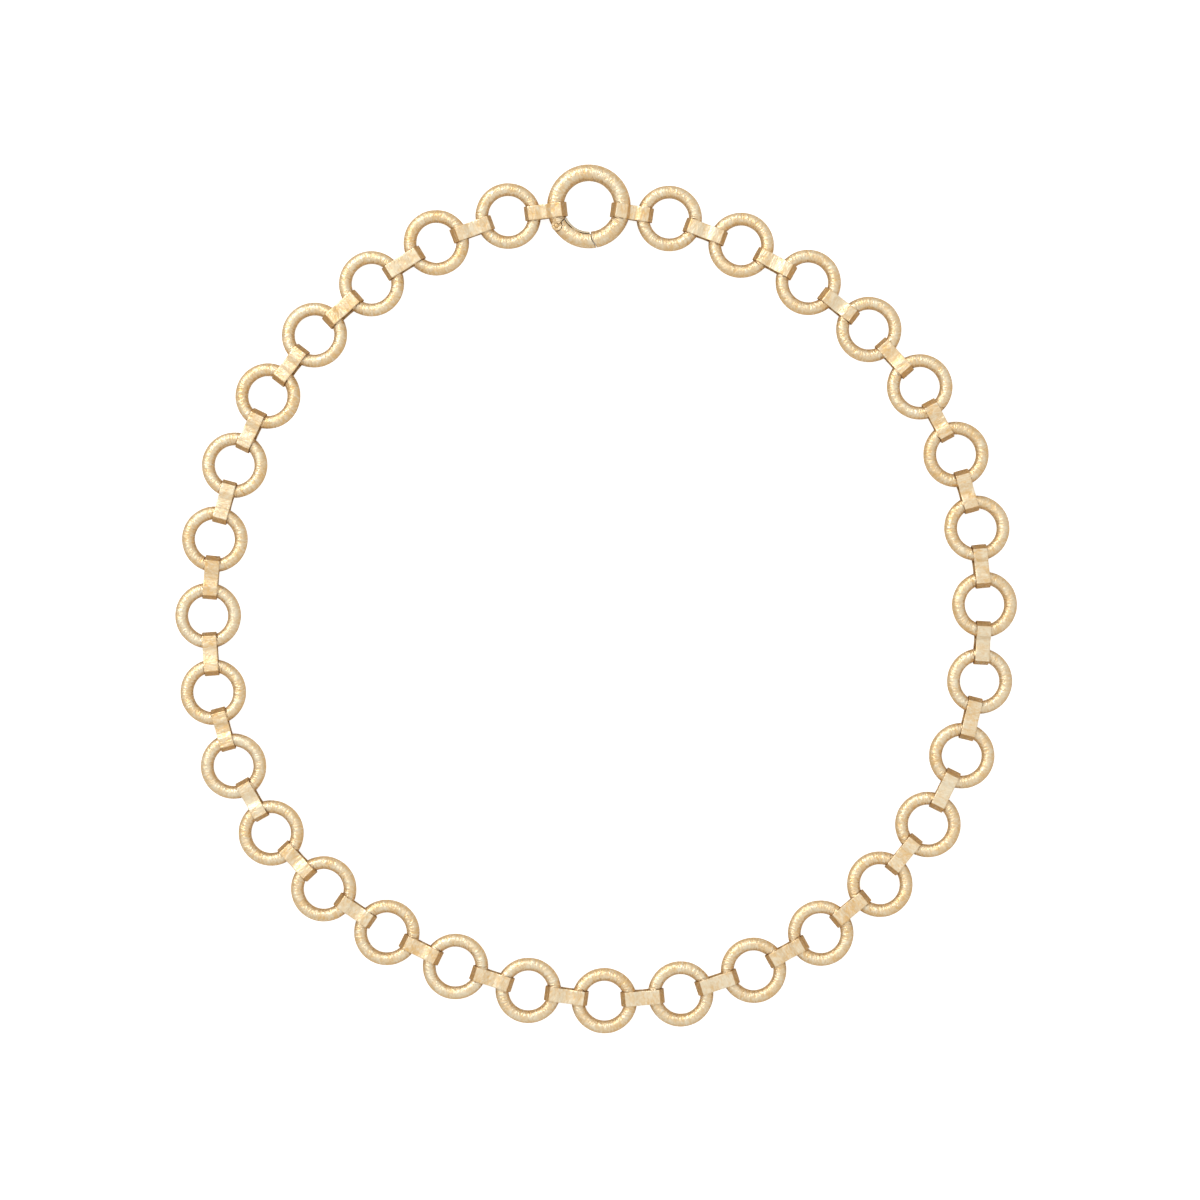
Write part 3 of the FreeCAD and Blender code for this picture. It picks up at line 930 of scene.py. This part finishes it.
# ---------------------------------------------------------------- the pieces


# Each piece's surface work has its own seed. A side's rings count on from its first seed, and its
# connectors from further on.
FRONT_SEED = 1
CLASP_SEED = 11
GATE_SEED = 12
FIRST_SEEDS = {"right": 100, "left": 200}
CONNECTOR_SEEDS = 50


def fit(piece, body, node):
    """A piece rides on a body and stands for a CAD node."""
    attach(piece, body)
    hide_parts(node)


def build_chain():
    """All the small rings and connectors."""
    front = wire_ring("front_wire_ring", RINGS["front", 0], FRONT_SEED, ENGRAVED_GOLD)
    fit(front, "front_ring", "front_ring")
    for side, seed in FIRST_SEEDS.items():
        for number in range(1, SIDE_RINGS + 2):
            start = RINGS[side, number - 1] if number > 1 else RINGS["front", 0]
            is_last = number > SIDE_RINGS
            end = RINGS["clasp", 0] if is_last else RINGS[side, number]
            name, node = f"{side}_band_{number:02d}", node_of("connector", side, number)
            piece = band(name, start, end, is_last, seed + CONNECTOR_SEEDS + number, BAND_GOLD)
            fit(piece, node, node)
            if not is_last:
                name, node = f"{side}_wire_ring_{number:02d}", node_of("ring", side, number)
                piece = wire_ring(name, end, seed + number, ENGRAVED_GOLD)
                fit(piece, node, node)


def build_clasp():
    """The clasp ring, its gate, the gate's tongue and the hinge pin."""
    ring = clasp_piece("clasp_round", "clasp_ring", RING_VOXEL, CLASP_SEED, ENGRAVED_GOLD)
    gate = clasp_piece("clasp_swing_gate", "clasp_gate", GATE_VOXEL, GATE_SEED, ENGRAVED_GOLD)
    fit(ring, "clasp_ring", "clasp_ring")
    fit(gate, "clasp_gate", "clasp_gate")
    fit(snap_tongue("clasp_snap_tongue", POLISHED_GOLD), "clasp_gate", "clasp_tongue")
    fit(hinge_pin("clasp_pin", PIN_GOLD), "clasp_ring", "clasp_hinge_pin")


build_chain()
build_clasp()


# ---------------------------------------------------------------- floor, light and camera

# The floor: half its side and how far it lies under the necklace, in metres, its tones, the size of its
# patches, its roughness, and the light that only the camera sees from it.
FLOOR_HALF = 3.0
FLOOR_GAP = 0.00002
FLOOR_TONES = (0.68, 0.70)
FLOOR_CELLS = 3.0
FLOOR_ROUGH = 0.9
FLOOR_GLOW = 0.75

# The dome's strength from the horizon down and straight above, and the key light, in metres and watts.
DOME_STRENGTHS = (0.76, 1.02)
KEY_PLACE = (-0.55, 0.6, 0.8)
KEY_SIZE = 0.6
KEY_POWER = 5.5

# The camera: lens and sensor in millimetres, and in metres what it looks down on, the height of that, the
# width that fills the frame, and the nearest and furthest that it sees.
LENS = 100
SENSOR = 36
LOOKS_AT = (0.0007, -0.00013)
FOCUS_HEIGHT = 0.002
FRAME_WIDTH = 0.2191
CLIPPING = (0.01, 20)


def floor():
    """A plain near-white floor, far larger than the necklace, that looks evenly lit like a light table."""
    nodes = Nodes("floor_white")
    place = nodes.add("ShaderNodeTexCoord").outputs["Object"]
    tone = nodes.spread(nodes.noise(place, FLOOR_CELLS), 0.3, 0.7, *FLOOR_TONES)
    colour = nodes.add("ShaderNodeCombineColor", {"Red": tone, "Green": tone, "Blue": tone})
    nodes.put(nodes.shader.inputs["Base Color"], colour.outputs[0])
    nodes.shader.inputs["Roughness"].default_value = FLOOR_ROUGH
    glow = nodes.add("ShaderNodeEmission", {"Color": WHITE, "Strength": FLOOR_GLOW})
    seen = nodes.add("ShaderNodeLightPath").outputs["Is Camera Ray"]
    lit = nodes.add("ShaderNodeAddShader", {0: nodes.shader.outputs[0], 1: glow.outputs[0]})
    mixed = nodes.add("ShaderNodeMixShader", {0: seen, 1: nodes.shader.outputs[0], 2: lit.outputs[0]})
    nodes.put(nodes.tree.nodes["Material Output"].inputs["Surface"], mixed.outputs[0])
    mesh = bpy.data.meshes.new("studio_floor")
    turns = ((-1, -1), (1, -1), (1, 1), (-1, 1))
    mesh.from_pydata([(x * FLOOR_HALF, y * FLOOR_HALF, 0) for x, y in turns], [], [(0, 1, 2, 3)])
    mesh.materials.append(nodes.material)
    made = bpy.data.objects.new("studio_floor", mesh)
    bpy.context.scene.collection.objects.link(made)
    made.location.z = CAD_BOX[0].z - FLOOR_GAP


def soft_light(name, place, size, power):
    """A square soft light that faces the middle of the necklace."""
    light = bpy.data.lights.new(name, "AREA")
    light.shape = "SQUARE"
    light.size = size
    light.energy = power
    made = bpy.data.objects.new(name, light)
    bpy.context.scene.collection.objects.link(made)
    made.location = place
    made.rotation_mode = "QUATERNION"
    made.rotation_quaternion = (-Vector(place)).to_track_quat("-Z", "Y")


def studio():
    """Soft light from all round, brighter from above, against a white backdrop."""
    scene = bpy.context.scene
    scene.view_settings.view_transform = "Standard"
    world = bpy.data.worlds.new("studio")
    world.use_nodes = True
    tree = world.node_tree
    dome = tree.nodes["Background"]
    toward = tree.nodes.new("ShaderNodeTexCoord")
    parts = tree.nodes.new("ShaderNodeSeparateXYZ")
    height = tree.nodes.new("ShaderNodeMapRange")
    height.inputs["To Min"].default_value, height.inputs["To Max"].default_value = DOME_STRENGTHS
    tree.links.new(toward.outputs["Generated"], parts.inputs[0])
    tree.links.new(parts.outputs["Z"], height.inputs["Value"])
    tree.links.new(height.outputs["Result"], dome.inputs["Strength"])
    backdrop = tree.nodes.new("ShaderNodeBackground")
    for background in (dome, backdrop):
        background.inputs["Color"].default_value = WHITE
    seen = tree.nodes.new("ShaderNodeLightPath")
    mixed = tree.nodes.new("ShaderNodeMixShader")
    tree.links.new(seen.outputs["Is Camera Ray"], mixed.inputs[0])
    tree.links.new(dome.outputs[0], mixed.inputs[1])
    tree.links.new(backdrop.outputs[0], mixed.inputs[2])
    tree.links.new(mixed.outputs[0], tree.nodes["World Output"].inputs["Surface"])
    scene.world = world
    soft_light("key", KEY_PLACE, KEY_SIZE, KEY_POWER)


def camera():
    """A long lens straight above the necklace."""
    data = bpy.data.cameras.new("camera")
    data.lens = LENS
    data.sensor_width = SENSOR
    data.clip_start, data.clip_end = CLIPPING
    made = bpy.data.objects.new("camera", data)
    bpy.context.scene.collection.objects.link(made)
    made.location = (*LOOKS_AT, FOCUS_HEIGHT + FRAME_WIDTH * LENS / SENSOR)
    bpy.context.scene.camera = made


floor()
studio()
camera()
